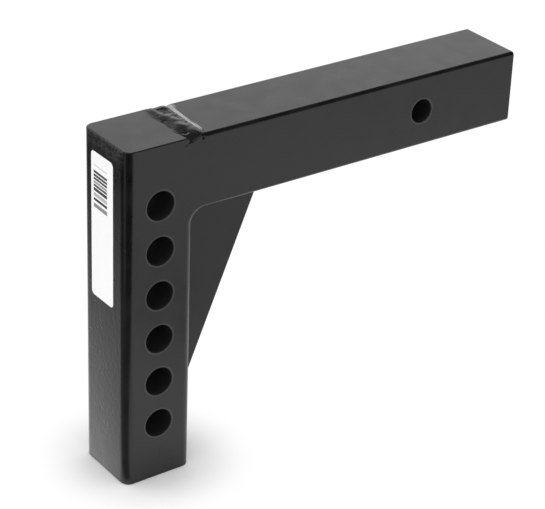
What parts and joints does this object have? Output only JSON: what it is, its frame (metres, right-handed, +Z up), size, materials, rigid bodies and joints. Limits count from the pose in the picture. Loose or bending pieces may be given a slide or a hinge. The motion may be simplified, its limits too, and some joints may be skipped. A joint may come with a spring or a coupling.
{
  "type": "hitch shank",
  "caption": "Welded L-shaped weight distribution hitch shank: solid receiver bar with a pin hole, upright with a row of bolt holes, gusset in the inner corner.",
  "frame": {"origin": "middle of the hitch pin hole, on the receiver bar's centre line", "axes": "+X along the receiver bar to its free end, +Y along the hitch pin, +Z up, the upright hangs down"},
  "size_m": [0.3113, 0.0508, 0.2417],
  "materials": {
    "bar_coat": "black powder coat, semi-gloss, on rolled bar",
    "plate_coat": "black powder coat, semi-gloss, on cut plate",
    "weld_coat": "black powder coat over weld beads",
    "label_paper": "white self-adhesive label with plain bars"
  },
  "bodies": {
    "root": {"upright_bar": "bar_coat", "receiver_bar": "bar_coat", "gusset_plate": "plate_coat", "top_groove_weld": "weld_coat", "near_groove_weld": "weld_coat", "far_groove_weld": "weld_coat", "inner_corner_weld": "weld_coat", "gusset_bar_weld_near": "weld_coat", "gusset_bar_weld_far": "weld_coat", "gusset_upright_weld_near": "weld_coat", "gusset_upright_weld_far": "weld_coat", "label": "label_paper"}
  },
  "joints": []
}
